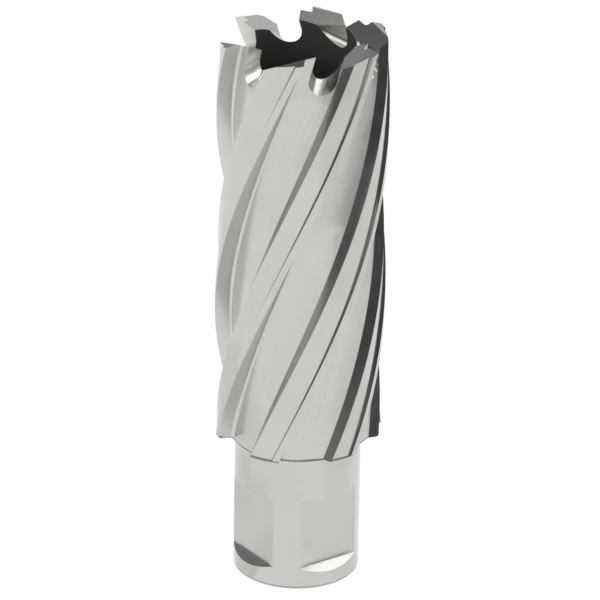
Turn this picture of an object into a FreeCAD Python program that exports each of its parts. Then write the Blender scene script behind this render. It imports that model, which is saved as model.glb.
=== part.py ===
import FreeCAD, Part
import math
import os

from FreeCAD import Placement, Rotation, Vector

# Annular cutter, ground from one bar of high speed steel.
# It stands on the end of its shank at Z = 0, teeth up, all sizes in millimetres.

# Shank
SHANK_DIAMETER = 19.05
SHANK_LENGTH = 22.3
SHANK_CHAMFER = 0.3
SHOULDER_FILLET = 1.6
PILOT_DIAMETER = 6.35
PILOT_CHAMFER = 0.5

# Clamping flats, with a ledge at the lower end that slopes down and outward
FLAT_DEPTH = 1.5
FLAT_BOTTOM = 3.5
FLAT_TOP = 14.8
FLAT_LEDGE_SLOPE = 31.0
FLAT_AZIMUTHS = (-54.2, -144.2)

# Body: its length is measured from the shank end to the ridge of a tooth
CREST_HEIGHT = 86.0
CUT_DIAMETER = 25.4
LAND_DIAMETER = 24.6
BORE_DIAMETER = 15.7
BORE_DEPTH = 56.4
SHOULDER_CHAMFER_WIDTH = 0.6
SHOULDER_CHAMFER_HEIGHT = 0.5

# Flutes, as angles in one cross section, counted from the edge of the margin
TOOTH_COUNT = 6
FLUTE_LEAD = 175.0
FIRST_MARGIN_AZIMUTH = 25.9
INDEX_SHIFTS = (0.0, 3.0, 0.5, 0.0, -3.5, -3.2)
MARGIN_ANGLE = 4.75
MARGIN_STEP_ANGLE = 0.9
LAND_ANGLE = 17.5
FOOT_ANGLE = 21.5
FLOOR_DISTANCE = 9.97
FLOOR_NORMAL_ANGLE = 14.3
FLUTE_FILLET = 0.5
FLUTE_RUN_BELOW_FILLET = 0.2

# Tooth ends: an inner and an outer facet that meet on a ridge
RIDGE_RADIUS = 11.2
RIDGE_ANGLE = 2.5
INNER_BEVEL = 19.3
INNER_RELIEF = 16.9
OUTER_BEVEL = 14.6
OUTER_RELIEF = 10.7
FACET_SECTOR_ANGLE = 32.0
FACET_DEPTH = 8.0

# Gullets: round-bottomed slots through the web, one ahead of each tooth
GULLET_RADIUS = 2.0
GULLET_CENTRE_DEPTH = 4.2
GULLET_OFFSET = 5.1
GULLET_REACH = 10.0
GULLET_AZIMUTH = -9.7
GULLET_FALL = 29.1
GULLET_RAKE = 15.0
GULLET_BACK_LEAN = 12.0

# How far a cut is carried past the surface that it breaks out of
OVERSHOOT = 1.0

SPACING = 360.0 / TOOTH_COUNT
SHANK_RADIUS = SHANK_DIAMETER / 2
CUT_RADIUS = CUT_DIAMETER / 2
LAND_RADIUS = LAND_DIAMETER / 2


def polar(radius, azimuth, height):
    turn = math.radians(azimuth)
    return Vector(radius * math.cos(turn), radius * math.sin(turn), height)


def line(start, end):
    return Part.LineSegment(start, end).toShape()


def arc(start, middle, end):
    return Part.Arc(start, middle, end).toShape()


def polygon_face(corners):
    return Part.Face(Part.makePolygon(corners + corners[:1]))


def margin_azimuth(tooth, height):
    """Where a tooth's margin begins at a height; the helix is right handed."""
    turn = 360.0 * height / FLUTE_LEAD
    return FIRST_MARGIN_AZIMUTH + SPACING * tooth + INDEX_SHIFTS[tooth] + turn


def flute_behind_azimuth(tooth, height):
    """Where the margin of the tooth behind begins, counted so that it is less than this tooth's."""
    azimuth = margin_azimuth((tooth - 1) % TOOTH_COUNT, height)
    if tooth == 0:
        azimuth -= 360.0
    return azimuth


# Turned blank

def turned_blank():
    """Shank, concave fillet, chamfered shoulder and an oversize body.

    The shank is drawn in three stretches, so that the round wall below and above
    the clamping flats and the arcs between them are faces of their own.
    """
    lean = SHOULDER_FILLET * math.sqrt(0.5)
    fillet_centre = Vector(SHANK_RADIUS + SHOULDER_FILLET, 0, SHANK_LENGTH - SHOULDER_FILLET)
    fillet_start = Vector(SHANK_RADIUS, 0, SHANK_LENGTH - SHOULDER_FILLET)
    fillet_end = Vector(SHANK_RADIUS + SHOULDER_FILLET, 0, SHANK_LENGTH)
    oversize = CUT_RADIUS + SHOULDER_CHAMFER_WIDTH
    top = CREST_HEIGHT + OVERSHOOT
    corners = [
        fillet_end,
        Vector(CUT_RADIUS - SHOULDER_CHAMFER_WIDTH, 0, SHANK_LENGTH),
        Vector(oversize, 0, SHANK_LENGTH + 2 * SHOULDER_CHAMFER_HEIGHT),
        Vector(oversize, 0, top),
        Vector(0, 0, top),
        Vector(0, 0, 0),
        Vector(SHANK_RADIUS - SHANK_CHAMFER, 0, 0),
        Vector(SHANK_RADIUS, 0, SHANK_CHAMFER),
        Vector(SHANK_RADIUS, 0, FLAT_BOTTOM),
        Vector(SHANK_RADIUS, 0, FLAT_TOP),
        fillet_start,
    ]
    edges = [line(start, end) for start, end in zip(corners, corners[1:])]
    edges.append(arc(fillet_start, fillet_centre + Vector(-lean, 0, lean), fillet_end))
    face = Part.Face(Part.Wire(edges))
    return face.revolve(Vector(0, 0, 0), Vector(0, 0, 1), 360)


def bore():
    """The slug bore, and the pilot pin's hole on through the shank."""
    pilot_radius = PILOT_DIAMETER / 2
    bore_radius = BORE_DIAMETER / 2
    floor = CREST_HEIGHT - BORE_DEPTH
    top = CREST_HEIGHT + OVERSHOOT
    return polygon_face([
        Vector(0, 0, -OVERSHOOT),
        Vector(pilot_radius + PILOT_CHAMFER + OVERSHOOT, 0, -OVERSHOOT),
        Vector(pilot_radius, 0, PILOT_CHAMFER),
        Vector(pilot_radius, 0, floor),
        Vector(bore_radius, 0, floor),
        Vector(bore_radius, 0, top),
        Vector(0, 0, top),
    ]).revolve(Vector(0, 0, 0), Vector(0, 0, 1), 360)


def clamping_flats():
    """Two milled flats, a quarter turn apart, for the set screws of an arbor."""
    wall = SHANK_RADIUS - FLAT_DEPTH
    outside = SHANK_RADIUS + OVERSHOOT
    drop = (outside - wall) * math.tan(math.radians(FLAT_LEDGE_SLOPE))
    cutters = []
    for azimuth in FLAT_AZIMUTHS:
        cutter = polygon_face([
            Vector(wall, -SHANK_RADIUS, FLAT_BOTTOM),
            Vector(outside, -SHANK_RADIUS, FLAT_BOTTOM - drop),
            Vector(outside, -SHANK_RADIUS, FLAT_TOP),
            Vector(wall, -SHANK_RADIUS, FLAT_TOP),
        ]).extrude(Vector(0, SHANK_DIAMETER, 0))
        cutter.rotate(Vector(0, 0, 0), Vector(0, 0, 1), azimuth)
        cutters.append(cutter)
    return cutters


# Flutes

def floor_radius(angle):
    """How far out a flute's flat floor lies at an angle from the margin."""
    return FLOOR_DISTANCE / math.cos(math.radians(angle - FLOOR_NORMAL_ANGLE))


def land_edges(tooth, height):
    """The relieved land behind a margin, and the small step up to it."""
    land_start = flute_behind_azimuth(tooth, height) + SPACING - LAND_ANGLE
    margin_start = margin_azimuth(tooth, height)
    land_end = margin_start - MARGIN_STEP_ANGLE
    step_foot = polar(LAND_RADIUS, land_end, height)
    land_middle = polar(LAND_RADIUS, (land_start + land_end) / 2, height)
    return [
        arc(polar(LAND_RADIUS, land_start, height), land_middle, step_foot),
        line(step_foot, polar(CUT_RADIUS, margin_start, height)),
    ]


def flute_edges(tooth, height):
    """Margin, leading wall, filleted floor and trailing wall of one flute."""
    start = margin_azimuth(tooth, height)
    foot_angle = SPACING - FOOT_ANGLE
    step_top = polar(CUT_RADIUS, start, height)
    margin_middle = polar(CUT_RADIUS, start + MARGIN_ANGLE / 2, height)
    edge = polar(CUT_RADIUS, start + MARGIN_ANGLE, height)
    corner = polar(floor_radius(MARGIN_ANGLE), start + MARGIN_ANGLE, height)
    foot = polar(floor_radius(foot_angle), start + foot_angle, height)
    land = polar(LAND_RADIUS, start + SPACING - LAND_ANGLE, height)

    up_wall = (edge - corner).normalize()
    along_floor = (foot - corner).normalize()
    bisector = (up_wall + along_floor).normalize()
    half_angle = up_wall.getAngle(along_floor) / 2
    tangent_length = FLUTE_FILLET / math.tan(half_angle)
    wall_end = corner + up_wall * tangent_length
    fillet_middle = corner + bisector * (FLUTE_FILLET / math.sin(half_angle) - FLUTE_FILLET)
    floor_start = corner + along_floor * tangent_length
    return [
        arc(step_top, margin_middle, edge),
        line(edge, wall_end),
        arc(wall_end, fillet_middle, floor_start),
        line(floor_start, foot),
        line(foot, land),
    ]


def body_section(height):
    edges = []
    for tooth in range(TOOTH_COUNT):
        edges += land_edges(tooth, height)
        edges += flute_edges(tooth, height)
    return Part.Wire(edges)


def fluted_bar(low, high):
    """Sweep the fluted section up the axis, turned by a helix."""
    spine = Part.Wire([line(Vector(0, 0, low), Vector(0, 0, high))])
    helix = Part.makeHelix(FLUTE_LEAD, high - low, CUT_RADIUS)
    helix.translate(Vector(0, 0, low))
    sweep = Part.BRepOffsetAPI.MakePipeShell(spine)
    sweep.setAuxiliarySpine(Part.Wire(helix.Edges), True, 0)
    sweep.add(body_section(low))
    sweep.build()
    sweep.makeSolid()
    return sweep.shape()


def flute_space():
    """All that the flutes take off the turned blank, as one ring."""
    low = SHANK_LENGTH - SHOULDER_FILLET - FLUTE_RUN_BELOW_FILLET
    high = CREST_HEIGHT + OVERSHOOT
    ring = Part.makeCylinder(CUT_DIAMETER, high - low, Vector(0, 0, low))
    return ring.cut(fluted_bar(low, high))


# Teeth

def gullet(tooth):
    """A slot that falls outward through the web ahead of a tooth."""
    azimuth = margin_azimuth(tooth, CREST_HEIGHT) + GULLET_AZIMUTH
    outward = polar(1, azimuth, 0)
    leading = polar(1, azimuth + 90, 0)
    upward = Vector(0, 0, 1)
    fall = math.tan(math.radians(GULLET_FALL))
    length = CUT_RADIUS + OVERSHOOT
    wall_height = GULLET_CENTRE_DEPTH + length * fall + 2 * GULLET_RADIUS

    centre = outward * OVERSHOOT + leading * GULLET_OFFSET
    centre.z = CREST_HEIGHT - GULLET_CENTRE_DEPTH + (GULLET_REACH - OVERSHOOT) * fall

    rake = math.radians(GULLET_RAKE)
    back = math.radians(GULLET_BACK_LEAN)
    along_front = leading * math.sin(rake) + upward * math.cos(rake)
    along_back = leading * math.sin(back) + upward * math.cos(back)
    out_front = upward * math.sin(rake) - leading * math.cos(rake)
    out_back = leading * math.cos(back) - upward * math.sin(back)
    front_foot = centre + out_front * GULLET_RADIUS
    back_foot = centre + out_back * GULLET_RADIUS
    front_top = front_foot + along_front * wall_height
    back_top = back_foot + along_back * wall_height
    outline = Part.Wire([
        arc(front_foot, centre - upward * GULLET_RADIUS, back_foot),
        line(back_foot, back_top),
        line(back_top, front_top),
        line(front_top, front_foot),
    ])
    return Part.Face(outline).extrude((outward - upward * fall) * length)


def facet_cutter(tooth, bevel, relief):
    """What one ground facet takes off the end of a tooth.

    The sector runs from the gullet behind the tooth to the gullet ahead of it.
    """
    azimuth = margin_azimuth(tooth, CREST_HEIGHT)
    start = flute_behind_azimuth(tooth, CREST_HEIGHT) + FACET_SECTOR_ANGLE
    end = azimuth + FACET_SECTOR_ANGLE
    low = CREST_HEIGHT - FACET_DEPTH
    reach = CUT_DIAMETER
    sector = polygon_face([
        Vector(0, 0, low),
        polar(reach, start, low),
        polar(reach, (start + end) / 2, low),
        polar(reach, end, low),
    ]).extrude(Vector(0, 0, 2 * FACET_DEPTH))

    outward = polar(1, azimuth, 0)
    leading = polar(1, azimuth + 90, 0)
    normal = Vector(0, 0, 1)
    normal -= outward * math.tan(math.radians(bevel))
    normal -= leading * math.tan(math.radians(relief))
    ridge = polar(RIDGE_RADIUS, azimuth + RIDGE_ANGLE, CREST_HEIGHT)
    slab = Part.makeBox(4 * reach, 4 * reach, reach, Vector(-2 * reach, -2 * reach, 0))
    slab.Placement = Placement(ridge, Rotation(Vector(0, 0, 1), normal))
    return sector.common(slab)


def tooth_cutters():
    cutters = []
    for tooth in range(TOOTH_COUNT):
        cutters.append(gullet(tooth))
        cutters.append(facet_cutter(tooth, INNER_BEVEL, INNER_RELIEF))
        cutters.append(facet_cutter(tooth, -OUTER_BEVEL, OUTER_RELIEF))
    return cutters


def annular_cutter():
    cutter = turned_blank().cut(flute_space()).cut(bore())
    cutter = cutter.cut(clamping_flats())
    for tool in tooth_cutters():
        cutter = cutter.cut(tool)
    return cutter


os.makedirs("parts", exist_ok=True)
shape = annular_cutter()
print("solids", len(shape.Solids), "valid", shape.isValid(), "volume", round(shape.Volume, 1))
shape.exportStep("parts/annular_cutter.step")
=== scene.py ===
import math

import bpy
from mathutils import Matrix, Vector

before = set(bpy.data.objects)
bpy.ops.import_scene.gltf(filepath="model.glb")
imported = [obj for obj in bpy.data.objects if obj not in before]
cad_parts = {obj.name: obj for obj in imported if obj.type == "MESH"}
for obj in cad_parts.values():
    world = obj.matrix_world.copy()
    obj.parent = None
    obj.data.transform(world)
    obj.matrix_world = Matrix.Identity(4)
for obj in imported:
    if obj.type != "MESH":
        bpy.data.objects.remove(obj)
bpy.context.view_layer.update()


# The cutter: one bar of high speed steel, turned and bored, with six helical flutes and six
# split teeth ground into it. Each wheel leaves fine lines along its cut. The bore, the band under
# the shoulder and the flutes' rear walls are painted dark as shade, the front walls get painted
# light, the edges carry a painted highlight, and the chamfer at the foot is painted darker.
SHANK_RADIUS = 0.009525
SHANK_CHAMFER = 0.0005
SHANK_TOP = 0.0223
SHOULDER_FILLET = 0.0016
FILLET_CENTRE_RADIUS = SHANK_RADIUS + SHOULDER_FILLET
SHOULDER_CHAMFER = 0.00035
LEDGE_TOP = 0.0035
BODY_RADIUS = 0.0120
BORE_RADIUS = 0.00785
FLUTE_LEAD = 0.175

# The band of painted shade under the shoulder: its height above the fillet, its inner radius and its
# strength.
SHADE_ABOVE_FILLET = 0.00016
SHADE_FROM_RADIUS = 0.0098
SHADE_AT_SHOULDER = 0.75
BORE_RIM = 0.00012
LAND_STEP = 0.0002
FLAT_DEPTH_LEAST = 0.00005
LEDGE_CORNER_HEIGHT = 0.0022
LEDGE_CORNER_WIDTH = 0.0020
EDGE_WIDTH = 0.00005
EDGE_SAMPLES = 8
TOOTH_GROUND_FROM = 0.0780
TOOTH_GROUND_FULLY = 0.0805

SCRATCHES_PER_METRE = 2400.0
SCRATCH_DETAIL = 5.0
SCRATCH_DEPTH = 0.00003
SCRATCH_STRENGTH = 0.12
STRETCH_ALONG_FLUTE = 0.02
STRETCH_ROUND_SHANK = 0.004
MARKS_CHANGE_OVER = 0.0005
STAINS_PER_METRE = 110.0
STAIN_DETAIL = 3.0
STAIN_BAND = (0.42, 0.72)

# How far a surface is turned, as cosines: backward, forward, upward, and from its own flat face.
REAR_WALL_TURN = (0.35, 0.75)
FRONT_WALL_TURN = (0.55, 0.85)
CREST_TURN = (0.80, 0.88)
EDGE_TURN = (0.80, 0.97)

STEEL = (0.610, 0.605, 0.585, 1.0)
DULL_STEEL = (0.560, 0.553, 0.530, 1.0)
# Painted highlight: the lighter colour along the edges.
EDGE_HIGHLIGHT = (0.760, 0.755, 0.740, 1.0)
# Painted shade: the darker colour of the flutes' rear walls.
REAR_WALL_SHADE = (0.400, 0.392, 0.370, 1.0)
# The chamfer at the shank's foot is painted darker.
DARKER_FOOT_STEEL = (0.370, 0.363, 0.345, 1.0)
# Painted light: the lighter colour of the flutes' front walls.
FRONT_WALL_LIGHT = (0.700, 0.692, 0.670, 1.0)
# Painted shade: the dark colour of the bore and of the band under the shoulder.
PAINTED_SHADE = (0.120, 0.120, 0.111, 1.0)
DULLED_BY_SCRATCHES = 0.7
DULLED_BY_STAINS = 0.5
BORE_LOSES_METAL = 0.2
GRAIN = 0.3

GROUND_ROUGHNESS = 0.12
SCRATCHES_ROUGHEN = 0.10
STAINS_ROUGHEN = 0.04
TOOTH_WHEEL_ROUGHENS = 0.12
CREST_IS_KEENER = 0.6
FRONT_WALL_ROUGHENS = 0.18
LEDGE_ROUGHENS = 0.10
SHADED_PARTS_ROUGHEN = 0.35


def math_node(tree, operation, first, second=None, third=None):
    node = tree.nodes.new("ShaderNodeMath")
    node.operation = operation
    for socket, value in zip(node.inputs, (first, second, third)):
        if value is None:
            continue
        if isinstance(value, (int, float)):
            socket.default_value = value
        else:
            tree.links.new(value, socket)
    return node.outputs[0]


def product(tree, *factors):
    result = factors[0]
    for factor in factors[1:]:
        result = math_node(tree, "MULTIPLY", result, factor)
    return result


def all_but(tree, mask):
    return math_node(tree, "SUBTRACT", 1.0, mask)


def above(tree, value, limit):
    return math_node(tree, "GREATER_THAN", value, limit)


def below(tree, value, limit):
    return math_node(tree, "LESS_THAN", value, limit)


def smooth_step(tree, value, low, high):
    node = tree.nodes.new("ShaderNodeMapRange")
    node.interpolation_type = "SMOOTHSTEP"
    tree.links.new(value, node.inputs["Value"])
    node.inputs["From Min"].default_value = low
    node.inputs["From Max"].default_value = high
    return node.outputs["Result"]


def vector_of(tree, *parts):
    node = tree.nodes.new("ShaderNodeCombineXYZ")
    for value, socket in zip(parts, node.inputs):
        tree.links.new(value, socket)
    return node.outputs[0]


def likeness(tree, first, second):
    """The cosine between two directions."""
    node = tree.nodes.new("ShaderNodeVectorMath")
    node.operation = "DOT_PRODUCT"
    tree.links.new(first, node.inputs[0])
    tree.links.new(second, node.inputs[1])
    return node.outputs["Value"]


def vector_mix(tree, factor, first, second):
    node = tree.nodes.new("ShaderNodeMix")
    node.data_type = "VECTOR"
    tree.links.new(factor, node.inputs["Factor"])
    tree.links.new(first, node.inputs[4])
    tree.links.new(second, node.inputs[5])
    return node.outputs[1]


def noise(tree, place, scale, detail):
    node = tree.nodes.new("ShaderNodeTexNoise")
    tree.links.new(place, node.inputs["Vector"])
    node.inputs["Scale"].default_value = scale
    node.inputs["Detail"].default_value = detail
    return node.outputs["Fac"]


def place_on_cutter(tree):
    """The place on the cutter: x, y and height, the distance from its axis, and the whole vector."""
    place = tree.nodes.new("ShaderNodeTexCoord").outputs["Object"]
    split = tree.nodes.new("ShaderNodeSeparateXYZ")
    tree.links.new(place, split.inputs[0])
    x, y, z = split.outputs
    squares = math_node(tree, "ADD", math_node(tree, "POWER", x, 2.0), math_node(tree, "POWER", y, 2.0))
    return x, y, z, math_node(tree, "SQRT", squares), place


def grinding_marks():
    """Fine scratches along each ground surface, and the faint stains that handling leaves."""
    group = bpy.data.node_groups.new("grinding marks", "ShaderNodeTree")
    for output in ("Scratches", "Stains"):
        group.interface.new_socket(output, in_out="OUTPUT", socket_type="NodeSocketFloat")
    result = group.nodes.new("NodeGroupOutput")
    x, y, z, _, place = place_on_cutter(group)

    turn = math_node(group, "ARCTAN2", y, x)
    helix = math_node(group, "SUBTRACT", turn, product(group, z, 2 * math.pi / FLUTE_LEAD))
    across = product(group, math_node(group, "SINE", helix), BODY_RADIUS)
    beside = product(group, math_node(group, "COSINE", helix), BODY_RADIUS)
    along_flute = vector_of(group, across, beside, product(group, z, STRETCH_ALONG_FLUTE))
    slow_x = product(group, x, STRETCH_ROUND_SHANK)
    slow_y = product(group, y, STRETCH_ROUND_SHANK)
    round_shank = vector_of(group, slow_x, slow_y, z)

    on_body = smooth_step(group, z, SHANK_TOP - MARKS_CHANGE_OVER, SHANK_TOP)
    cut = vector_mix(group, on_body, round_shank, along_flute)
    scratches = noise(group, cut, SCRATCHES_PER_METRE, SCRATCH_DETAIL)
    stains = smooth_step(group, noise(group, place, STAINS_PER_METRE, STAIN_DETAIL), *STAIN_BAND)
    group.links.new(scratches, result.inputs["Scratches"])
    group.links.new(stains, result.inputs["Stains"])
    return group


def shoulder_corner(tree, radius, z):
    """The band under the shoulder, up to its fillet's curve, that is painted dark as shade."""
    inward = math_node(tree, "SUBTRACT", FILLET_CENTRE_RADIUS, radius)
    inward = math_node(tree, "MAXIMUM", inward, 0.0)
    rise = math_node(tree, "SUBTRACT", SHOULDER_FILLET ** 2, math_node(tree, "POWER", inward, 2.0))
    rise = math_node(tree, "SQRT", rise)
    top = math_node(tree, "ADD", rise, SHANK_TOP - SHOULDER_FILLET + SHADE_ABOVE_FILLET)
    on_land = above(tree, radius, BODY_RADIUS)
    top = math_node(tree, "MULTIPLY_ADD", on_land, SHOULDER_CHAMFER, top)
    return product(tree, below(tree, z, top), above(tree, radius, SHADE_FROM_RADIUS))


def flat_ledges(tree, radius, z):
    """The sloping ledges where the two flats end, and the rounded corners above them."""
    on_flat = below(tree, radius, SHANK_RADIUS - FLAT_DEPTH_LEAST)
    ledge = product(tree, on_flat, below(tree, z, LEDGE_TOP), above(tree, z, SHANK_CHAMFER))
    fading = all_but(tree, smooth_step(tree, z, LEDGE_TOP, LEDGE_TOP + LEDGE_CORNER_HEIGHT))
    corner = product(tree, on_flat, above(tree, z, LEDGE_TOP), fading)
    return ledge, corner


def tints(tree, ground, *layers):
    """A ground colour with others laid over it in turn, each by its own mask."""
    colour = None
    for mask, over in layers:
        mix = tree.nodes.new("ShaderNodeMix")
        mix.data_type = "RGBA"
        tree.links.new(mask, mix.inputs["Factor"])
        if colour is None:
            mix.inputs[6].default_value = ground
        else:
            tree.links.new(colour, mix.inputs[6])
        mix.inputs[7].default_value = over
        colour = mix.outputs[2]
    return colour


def ground_steel():
    """Ground high speed steel, with a painted highlight on its edges, painted shade in the bore, under the
    shoulder and on the rear walls, and painted light on the front walls.
    """
    material = bpy.data.materials.new("ground steel")
    material.use_nodes = True
    tree = material.node_tree
    steel = tree.nodes["Principled BSDF"]
    steel.inputs["Anisotropic"].default_value = GRAIN
    marks = tree.nodes.new("ShaderNodeGroup")
    marks.node_tree = grinding_marks()
    scratches = marks.outputs["Scratches"]
    stains = marks.outputs["Stains"]
    x, y, z, radius, _ = place_on_cutter(tree)

    above_shank = above(tree, z, SHANK_TOP)
    # Painted shade: the bore and the band under the shoulder get a dark colour.
    outside_bore = smooth_step(tree, radius, BORE_RADIUS, BORE_RADIUS + BORE_RIM)
    in_bore = product(tree, all_but(tree, outside_bore), above_shank)
    shoulder_shade = product(tree, shoulder_corner(tree, radius, z), SHADE_AT_SHOULDER)
    painted_shade = math_node(tree, "MAXIMUM", in_bore, shoulder_shade)
    # The chamfer at the shank's foot is painted darker.
    end_chamfer = all_but(tree, above(tree, z, SHANK_CHAMFER))
    ledge, ledge_corner = flat_ledges(tree, radius, z)

    normal = tree.nodes.new("ShaderNodeTexCoord").outputs["Normal"]
    clockwise_x = math_node(tree, "DIVIDE", y, radius)
    clockwise_y = product(tree, math_node(tree, "DIVIDE", x, radius), -1.0)
    faces_back = likeness(tree, normal, vector_of(tree, clockwise_x, clockwise_y))
    faces_front = product(tree, faces_back, -1.0)
    upward = tree.nodes.new("ShaderNodeSeparateXYZ")
    tree.links.new(normal, upward.inputs[0])
    on_crest = smooth_step(tree, upward.outputs[2], *CREST_TURN)
    # The flutes' rear walls are painted darker, as shade.
    shaded_rear_wall = product(
        tree, smooth_step(tree, faces_back, *REAR_WALL_TURN), above_shank, all_but(tree, on_crest))
    # The flutes' front walls are painted lighter, as light, and are made rougher.
    lit_front_wall = product(tree, smooth_step(tree, faces_front, *FRONT_WALL_TURN), above_shank)

    inside_lands = all_but(tree, smooth_step(tree, radius, BODY_RADIUS, BODY_RADIUS + LAND_STEP))
    on_teeth = smooth_step(tree, z, TOOTH_GROUND_FROM, TOOTH_GROUND_FULLY)
    keener = math_node(tree, "MULTIPLY_ADD", on_crest, CREST_IS_KEENER, shaded_rear_wall)
    by_tooth_wheel = product(tree, inside_lands, on_teeth, all_but(tree, keener))

    rounded = tree.nodes.new("ShaderNodeBevel")
    rounded.samples = EDGE_SAMPLES
    width = math_node(tree, "MULTIPLY_ADD", ledge_corner, LEDGE_CORNER_WIDTH, EDGE_WIDTH)
    tree.links.new(width, rounded.inputs["Radius"])
    flat = tree.nodes.new("ShaderNodeNewGeometry").outputs["Normal"]
    turned_edge = all_but(tree, smooth_step(tree, likeness(tree, rounded.outputs[0], flat), *EDGE_TURN))
    # Painted highlight: the edges get a lighter colour.
    edge_highlight = product(tree, turned_edge, above_shank)

    dulled = math_node(
        tree, "MULTIPLY_ADD", scratches, DULLED_BY_SCRATCHES, product(tree, stains, DULLED_BY_STAINS))
    colour = tints(
        tree, STEEL, (dulled, DULL_STEEL), (end_chamfer, DARKER_FOOT_STEEL), (shaded_rear_wall, REAR_WALL_SHADE),
        (lit_front_wall, FRONT_WALL_LIGHT), (edge_highlight, EDGE_HIGHLIGHT), (painted_shade, PAINTED_SHADE))
    tree.links.new(colour, steel.inputs["Base Color"])
    metal = math_node(tree, "MULTIPLY_ADD", in_bore, -BORE_LOSES_METAL, 1.0)
    tree.links.new(metal, steel.inputs["Metallic"])

    roughness = GROUND_ROUGHNESS
    for mask, more in ((scratches, SCRATCHES_ROUGHEN), (stains, STAINS_ROUGHEN),
                       (by_tooth_wheel, TOOTH_WHEEL_ROUGHENS), (lit_front_wall, FRONT_WALL_ROUGHENS),
                       (ledge, LEDGE_ROUGHENS), (painted_shade, SHADED_PARTS_ROUGHEN)):
        roughness = math_node(tree, "MULTIPLY_ADD", mask, more, roughness)
    tree.links.new(roughness, steel.inputs["Roughness"])

    bump = tree.nodes.new("ShaderNodeBump")
    bump.inputs["Strength"].default_value = SCRATCH_STRENGTH
    bump.inputs["Distance"].default_value = SCRATCH_DEPTH
    tree.links.new(scratches, bump.inputs["Height"])
    eased = vector_mix(tree, above(tree, ledge_corner, 0.0), flat, rounded.outputs[0])
    tree.links.new(eased, bump.inputs["Normal"])
    tree.links.new(bump.outputs["Normal"], steel.inputs["Normal"])
    return material


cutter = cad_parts["annular_cutter"]
cutter_steel = ground_steel()
for slot in cutter.material_slots:
    slot.material = cutter_steel


# The table and the studio: a white table under a dim room, with one soft box at the right
# and one at the front left. Cards stand in for the walls, and only the steel's gloss sees them.
# Angles are in degrees, measured round from the cutter's right and up from the table.
TABLE_HALF = 1.5
TABLE_DROP = 0.0001
SHEET_DROP = 0.00005
CARD_STEPS = 24
CARD_ROWS = 8
WORLD_STRENGTH = 1.0
PAPER_WHITE = (1.0, 1.0, 1.0, 1.0)

world = bpy.data.worlds.new("studio")
world.use_nodes = True
bpy.context.scene.world = world
world.node_tree.nodes["Background"].inputs["Color"].default_value = PAPER_WHITE
world.node_tree.nodes["Background"].inputs["Strength"].default_value = WORLD_STRENGTH


def even_glow(name, strength):
    """A card's own light, the same from every side."""
    material = bpy.data.materials.new(name)
    material.use_nodes = True
    nodes = material.node_tree.nodes
    nodes.remove(nodes["Principled BSDF"])
    glow = nodes.new("ShaderNodeEmission")
    glow.inputs["Color"].default_value = PAPER_WHITE
    glow.inputs["Strength"].default_value = strength
    material.node_tree.links.new(glow.outputs[0], nodes["Material Output"].inputs["Surface"])
    return material


def card(name, strength, place, spans):
    """A bent card; place turns the two values along its spans into a point."""
    points = []
    for row in range(CARD_ROWS + 1):
        for step in range(CARD_STEPS + 1):
            shares = (step / CARD_STEPS, row / CARD_ROWS)
            points.append(place(*[low + (high - low) * share for (low, high), share in zip(spans, shares)]))
    faces = []
    for row in range(CARD_ROWS):
        for step in range(CARD_STEPS):
            first = row * (CARD_STEPS + 1) + step
            behind = first + CARD_STEPS + 1
            faces.append((first, first + 1, behind + 1, behind))
    mesh = bpy.data.meshes.new(name)
    mesh.from_pydata(points, [], faces)
    mesh.materials.append(even_glow(name, strength))
    piece = bpy.data.objects.new(name, mesh)
    bpy.context.scene.collection.objects.link(piece)
    piece.visible_shadow = False
    return piece


def for_gloss_only(piece):
    piece.visible_camera = False
    piece.visible_diffuse = False


def wall(name, strength, azimuths, elevations, distance):
    """A card that stands round the cutter, part of a sphere."""
    def place(azimuth, elevation):
        turn, lift = math.radians(azimuth), math.radians(elevation)
        level = distance * math.cos(lift)
        return level * math.cos(turn), level * math.sin(turn), distance * math.sin(lift)
    for_gloss_only(card(name, strength, place, (azimuths, elevations)))


def sheet(name, strength, azimuths, distances):
    """A card that lies on the table, part of a ring round the cutter."""
    def place(azimuth, distance):
        turn = math.radians(azimuth)
        return distance * math.cos(turn), distance * math.sin(turn), -SHEET_DROP
    for_gloss_only(card(name, strength, place, (azimuths, distances)))


table_span = (-TABLE_HALF, TABLE_HALF)
card("table", WORLD_STRENGTH, lambda x, y: (x, y, -TABLE_DROP), (table_span, table_span))
# The sheets on the table glow less than the table: painted shade on the table, seen only in the steel's
# gloss.
for name, strength, azimuths, distances in (
        ("table at the right", 0.92, (-62, 40), (0.13, 0.24)),
        ("far table at the right", 0.68, (-62, 40), (0.24, 0.42)),
        ("table's end at the right", 0.34, (-64, 60), (0.42, 1.40)),
        ("table's end at the front right", 0.64, (-86, -64), (0.42, 1.40)),
        ("table's end at the left", 0.28, (100, 180), (0.50, 1.40)),
        ("soft shade at the left", 0.90, (125, 185), (0.010, 0.10)),
        ("soft shade at the right", 0.94, (-45, 10), (0.010, 0.10)),
        ("shade beside the shank", 0.84, (185, 222), (0.010, 0.040))):
    sheet(name, strength, azimuths, distances)

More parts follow.
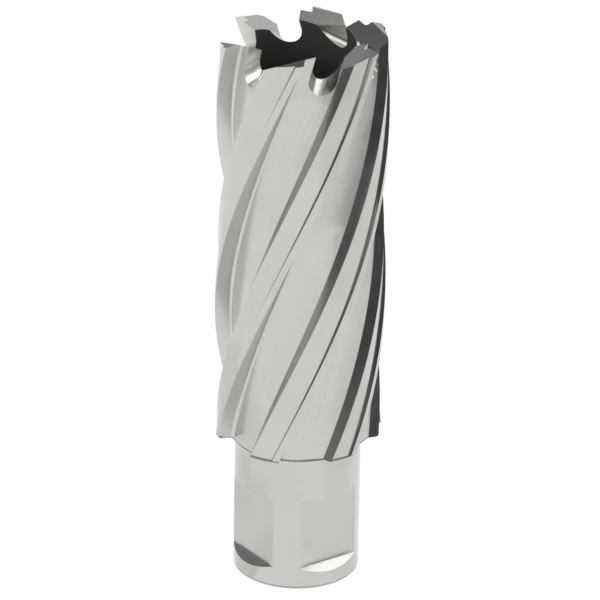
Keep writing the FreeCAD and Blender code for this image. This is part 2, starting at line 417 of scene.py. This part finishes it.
for name, strength, azimuths, elevations, distance in (
        ("horizon", 0.20, (-180, 180), (-4, 10), 1.35),
        ("horizon at the left", 0.34, (-180, -110), (-4, 12), 1.32),
        ("room", 0.12, (-180, 180), (10, 78), 1.34),
        ("room at the front", 0.08, (-105, 0), (10, 24), 1.33),
        ("ceiling", 0.60, (-180, 180), (77, 90), 1.32),
        ("back wall at the right", 0.66, (50, 92), (4, 30), 1.30),
        ("back wall", 0.32, (92, 118), (4, 30), 1.30),
        ("upper back wall", 0.28, (40, 90), (30, 62), 1.30),
        ("soft box's rim at the right", 0.75, (-14, 45), (32, 84), 1.20),
        ("soft box at the right", 2.1, (0, 43), (38, 72), 1.10),
        ("soft box's rim at the front left", 0.85, (-200, -90), (24, 74), 1.20),
        ("soft box at the front left", 2.6, (-190, -99), (34, 70), 1.10)):
    wall(name, strength, azimuths, elevations, distance)


# The camera stands where the photographer's did and looks down at the cutter through a long
# lens. Its angles are in degrees, and its focal length is in pixels of the 600-pixel frame.
CAMERA_DISTANCE = 0.600
CAMERA_HEIGHT = 0.308304
CAMERA_PITCH = 23.7987
CAMERA_ROLL = 0.9453
CAMERA_NEAREST = 0.01
FOCAL_PIXELS = 4393.19
FRAME_PIXELS = 600.0
SENSOR_WIDTH = 36.0

camera = bpy.data.cameras.new("camera")
camera.sensor_width = SENSOR_WIDTH
camera.lens = FOCAL_PIXELS / FRAME_PIXELS * SENSOR_WIDTH
camera.clip_start = CAMERA_NEAREST
viewer = bpy.data.objects.new("camera", camera)
bpy.context.scene.collection.objects.link(viewer)
pitch = math.radians(CAMERA_PITCH)
facing = Vector((0.0, math.cos(pitch), -math.sin(pitch))).to_track_quat("-Z", "Y").to_matrix().to_4x4()
roll = Matrix.Rotation(math.radians(CAMERA_ROLL), 4, "Z")
viewer.matrix_world = Matrix.Translation((0.0, -CAMERA_DISTANCE, CAMERA_HEIGHT)) @ facing @ roll
bpy.context.scene.camera = viewer
bpy.context.scene.view_settings.view_transform = "Standard"
